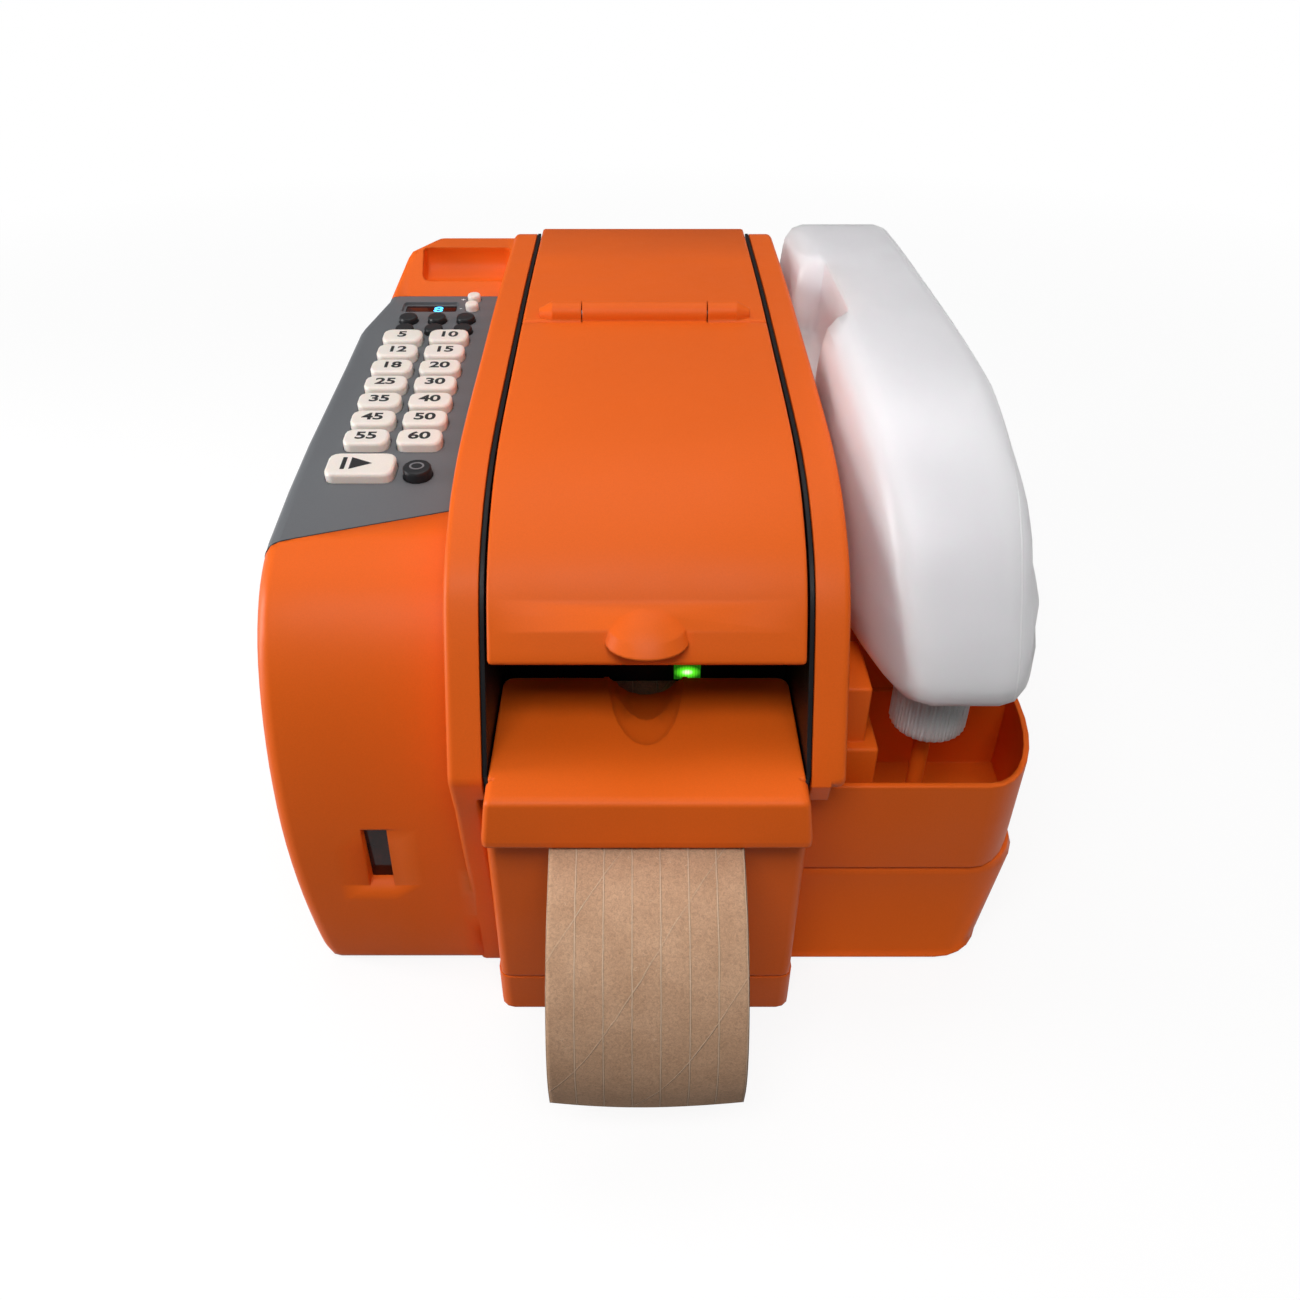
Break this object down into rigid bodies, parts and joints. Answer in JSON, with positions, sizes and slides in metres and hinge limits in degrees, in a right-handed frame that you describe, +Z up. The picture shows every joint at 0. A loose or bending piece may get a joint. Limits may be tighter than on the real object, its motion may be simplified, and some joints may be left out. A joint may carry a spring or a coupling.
{
  "type": "gummed tape dispenser",
  "caption": "Counter machine that cuts, wets and delivers gummed paper tape, with a keyboard, a hinged access door, a heater cover and a water bottle in a tray",
  "frame": {"origin": "on the counter, under the middle of the middle section", "axes": "+X to the right as the user sees it, -Y towards the user, +Z up"},
  "size_m": [0.3326, 0.4553, 0.2517],
  "materials": {
    "case": "satin, fine grain",
    "panel": "satin",
    "key": "semi-gloss",
    "black_button": "satin",
    "plate": "satin black",
    "bottle": "milky, translucent",
    "kraft": "kraft paper with reinforcing fibres",
    "lens": "dark, clear",
    "lamp": "lit green",
    "steel": "brushed",
    "rubber": "matte",
    "tank": "satin",
    "board": "solder mask"
  },
  "bodies": {
    "frame": {"base_pan": "case", "left_housing": "case", "right_housing": "case", "right_bezel": "case", "water_tray": "case", "rear_cover": "case", "front_housing": "case", "valve_post": "case", "keyboard_panel": "panel", "display_window": "lens", "sensor_window": "lens", "circuit_board": "board", "side_plate_left": "plate", "side_plate_right": "plate", "hinge_pin": "steel", "water_tank": "tank", "brush": "tank", "tape_web": "kraft", "tape_strip": "kraft", "feed_motor": "plate", "fixed_blade": "steel", "blade_solenoid": "plate", "bulkhead": "plate", "ready_lamp": "lamp"},
    "door": {"access_door": "case"},
    "heater_lid": {"heater_cover": "case", "heater_plate": "steel"},
    "bottle": {"water_bottle": "bottle", "bottle_cap": "bottle"},
    "plunger": {"valve_plunger": "rubber"},
    "roll": {"tape_roll": "kraft"},
    "feed": {"feed_wheel": "rubber"},
    "pressure": {"pressure_roller": "rubber"},
    "roller_front": {"basket_roller_front": "steel"},
    "roller_rear": {"basket_roller_rear": "steel"},
    "blade": {"moving_blade": "steel"},
    "length_key_01_body": {"length_key_01": "key"},
    "length_key_02_body": {"length_key_02": "key"},
    "length_key_03_body": {"length_key_03": "key"},
    "length_key_04_body": {"length_key_04": "key"},
    "length_key_05_body": {"length_key_05": "key"},
    "length_key_06_body": {"length_key_06": "key"},
    "length_key_07_body": {"length_key_07": "key"},
    "length_key_08_body": {"length_key_08": "key"},
    "length_key_09_body": {"length_key_09": "key"},
    "length_key_10_body": {"length_key_10": "key"},
    "length_key_11_body": {"length_key_11": "key"},
    "length_key_12_body": {"length_key_12": "key"},
    "length_key_13_body": {"length_key_13": "key"},
    "length_key_14_body": {"length_key_14": "key"},
    "start_key_body": {"start_key": "key"},
    "stop_button_body": {"stop_button": "black_button"},
    "mode_button_1_body": {"mode_button_1": "black_button"},
    "mode_button_2_body": {"mode_button_2": "black_button"},
    "mode_button_3_body": {"mode_button_3": "black_button"},
    "mode_button_4_body": {"mode_button_4": "black_button"},
    "mode_button_5_body": {"mode_button_5": "black_button"},
    "mode_button_6_body": {"mode_button_6": "black_button"},
    "adjust_button_1_body": {"adjust_button_1": "key"},
    "adjust_button_2_body": {"adjust_button_2": "key"}
  },
  "joints": [
    {"name": "door_hinge", "type": "hinge", "parent": "frame", "child": "door", "pos_m": [0, 0.0715, 0.2372], "axis": [-1, 0, 0], "range_deg": [0, 105]},
    {"name": "heater_cover_hinge", "type": "hinge", "parent": "frame", "child": "heater_lid", "pos_m": [0, -0.0985, 0.1305], "axis": [-1, 0, 0], "range_deg": [0, 32]},
    {"name": "bottle_lift", "type": "slide", "parent": "frame", "child": "bottle", "axis": [0, 0, 1], "range_m": [0, 0.15]},
    {"name": "valve_press", "type": "slide", "parent": "bottle", "child": "plunger", "axis": [0, 0, 1], "range_m": [0, 0.003], "stiffness_N_per_m": 150},
    {"name": "roll_spin", "type": "hinge", "parent": "frame", "child": "roll", "pos_m": [0, 0.112, 0.125], "axis": [1, 0, 0], "continuous": true},
    {"name": "feed_spin", "type": "hinge", "parent": "frame", "child": "feed", "pos_m": [0, -0.03, 0.104], "axis": [1, 0, 0], "continuous": true},
    {"name": "pressure_spin", "type": "hinge", "parent": "frame", "child": "pressure", "pos_m": [0, -0.03, 0.1342], "axis": [-1, 0, 0], "continuous": true},
    {"name": "roller_front_spin", "type": "hinge", "parent": "frame", "child": "roller_front", "pos_m": [0, 0.067, 0.04099], "axis": [-1, 0, 0], "continuous": true},
    {"name": "roller_rear_spin", "type": "hinge", "parent": "frame", "child": "roller_rear", "pos_m": [0, 0.157, 0.04099], "axis": [-1, 0, 0], "continuous": true},
    {"name": "blade_stroke", "type": "slide", "parent": "frame", "child": "blade", "axis": [0, 0, -1], "range_m": [0, 0.008], "stiffness_N_per_m": 150},
    {"name": "length_key_01_press", "type": "slide", "parent": "frame", "child": "length_key_01_body", "axis": [0, 0.0929, -0.9957], "range_m": [0, 0.0018], "stiffness_N_per_m": 300},
    {"name": "length_key_02_press", "type": "slide", "parent": "frame", "child": "length_key_02_body", "axis": [0, 0.0929, -0.9957], "range_m": [0, 0.0018], "stiffness_N_per_m": 300},
    {"name": "length_key_03_press", "type": "slide", "parent": "frame", "child": "length_key_03_body", "axis": [0, 0.0929, -0.9957], "range_m": [0, 0.0018], "stiffness_N_per_m": 300},
    {"name": "length_key_04_press", "type": "slide", "parent": "frame", "child": "length_key_04_body", "axis": [0, 0.0929, -0.9957], "range_m": [0, 0.0018], "stiffness_N_per_m": 300},
    {"name": "length_key_05_press", "type": "slide", "parent": "frame", "child": "length_key_05_body", "axis": [0, 0.0929, -0.9957], "range_m": [0, 0.0018], "stiffness_N_per_m": 300},
    {"name": "length_key_06_press", "type": "slide", "parent": "frame", "child": "length_key_06_body", "axis": [0, 0.0929, -0.9957], "range_m": [0, 0.0018], "stiffness_N_per_m": 300},
    {"name": "length_key_07_press", "type": "slide", "parent": "frame", "child": "length_key_07_body", "axis": [0, 0.0929, -0.9957], "range_m": [0, 0.0018], "stiffness_N_per_m": 300},
    {"name": "length_key_08_press", "type": "slide", "parent": "frame", "child": "length_key_08_body", "axis": [0, 0.0929, -0.9957], "range_m": [0, 0.0018], "stiffness_N_per_m": 300},
    {"name": "length_key_09_press", "type": "slide", "parent": "frame", "child": "length_key_09_body", "axis": [0, 0.0929, -0.9957], "range_m": [0, 0.0018], "stiffness_N_per_m": 300},
    {"name": "length_key_10_press", "type": "slide", "parent": "frame", "child": "length_key_10_body", "axis": [0, 0.0929, -0.9957], "range_m": [0, 0.0018], "stiffness_N_per_m": 300},
    {"name": "length_key_11_press", "type": "slide", "parent": "frame", "child": "length_key_11_body", "axis": [0, 0.0929, -0.9957], "range_m": [0, 0.0018], "stiffness_N_per_m": 300},
    {"name": "length_key_12_press", "type": "slide", "parent": "frame", "child": "length_key_12_body", "axis": [0, 0.0929, -0.9957], "range_m": [0, 0.0018], "stiffness_N_per_m": 300},
    {"name": "length_key_13_press", "type": "slide", "parent": "frame", "child": "length_key_13_body", "axis": [0, 0.0929, -0.9957], "range_m": [0, 0.0018], "stiffness_N_per_m": 300},
    {"name": "length_key_14_press", "type": "slide", "parent": "frame", "child": "length_key_14_body", "axis": [0, 0.0929, -0.9957], "range_m": [0, 0.0018], "stiffness_N_per_m": 300},
    {"name": "start_key_press", "type": "slide", "parent": "frame", "child": "start_key_body", "axis": [0, 0.0929, -0.9957], "range_m": [0, 0.0018], "stiffness_N_per_m": 300},
    {"name": "stop_button_press", "type": "slide", "parent": "frame", "child": "stop_button_body", "axis": [0, 0.0929, -0.9957], "range_m": [0, 0.0018], "stiffness_N_per_m": 300},
    {"name": "mode_button_1_press", "type": "slide", "parent": "frame", "child": "mode_button_1_body", "axis": [0, 0.0929, -0.9957], "range_m": [0, 0.0012], "stiffness_N_per_m": 300},
    {"name": "mode_button_2_press", "type": "slide", "parent": "frame", "child": "mode_button_2_body", "axis": [0, 0.0929, -0.9957], "range_m": [0, 0.0012], "stiffness_N_per_m": 300},
    {"name": "mode_button_3_press", "type": "slide", "parent": "frame", "child": "mode_button_3_body", "axis": [0, 0.0929, -0.9957], "range_m": [0, 0.0012], "stiffness_N_per_m": 300},
    {"name": "mode_button_4_press", "type": "slide", "parent": "frame", "child": "mode_button_4_body", "axis": [0, 0.0929, -0.9957], "range_m": [0, 0.0012], "stiffness_N_per_m": 300},
    {"name": "mode_button_5_press", "type": "slide", "parent": "frame", "child": "mode_button_5_body", "axis": [0, 0.0929, -0.9957], "range_m": [0, 0.0012], "stiffness_N_per_m": 300},
    {"name": "mode_button_6_press", "type": "slide", "parent": "frame", "child": "mode_button_6_body", "axis": [0, 0.0929, -0.9957], "range_m": [0, 0.0012], "stiffness_N_per_m": 300},
    {"name": "adjust_button_1_press", "type": "slide", "parent": "frame", "child": "adjust_button_1_body", "axis": [0, 0.0929, -0.9957], "range_m": [0, 0.0012], "stiffness_N_per_m": 300},
    {"name": "adjust_button_2_press", "type": "slide", "parent": "frame", "child": "adjust_button_2_body", "axis": [0, 0.0929, -0.9957], "range_m": [0, 0.0012], "stiffness_N_per_m": 300}
  ],
  "couplings": [
    {"joint": "feed_spin", "follows": "roll_spin", "ratio": 4.4},
    {"joint": "pressure_spin", "follows": "roll_spin", "ratio": 9.7778},
    {"joint": "roller_front_spin", "follows": "roll_spin", "ratio": 12.571},
    {"joint": "roller_rear_spin", "follows": "roll_spin", "ratio": 12.571}
  ]
}
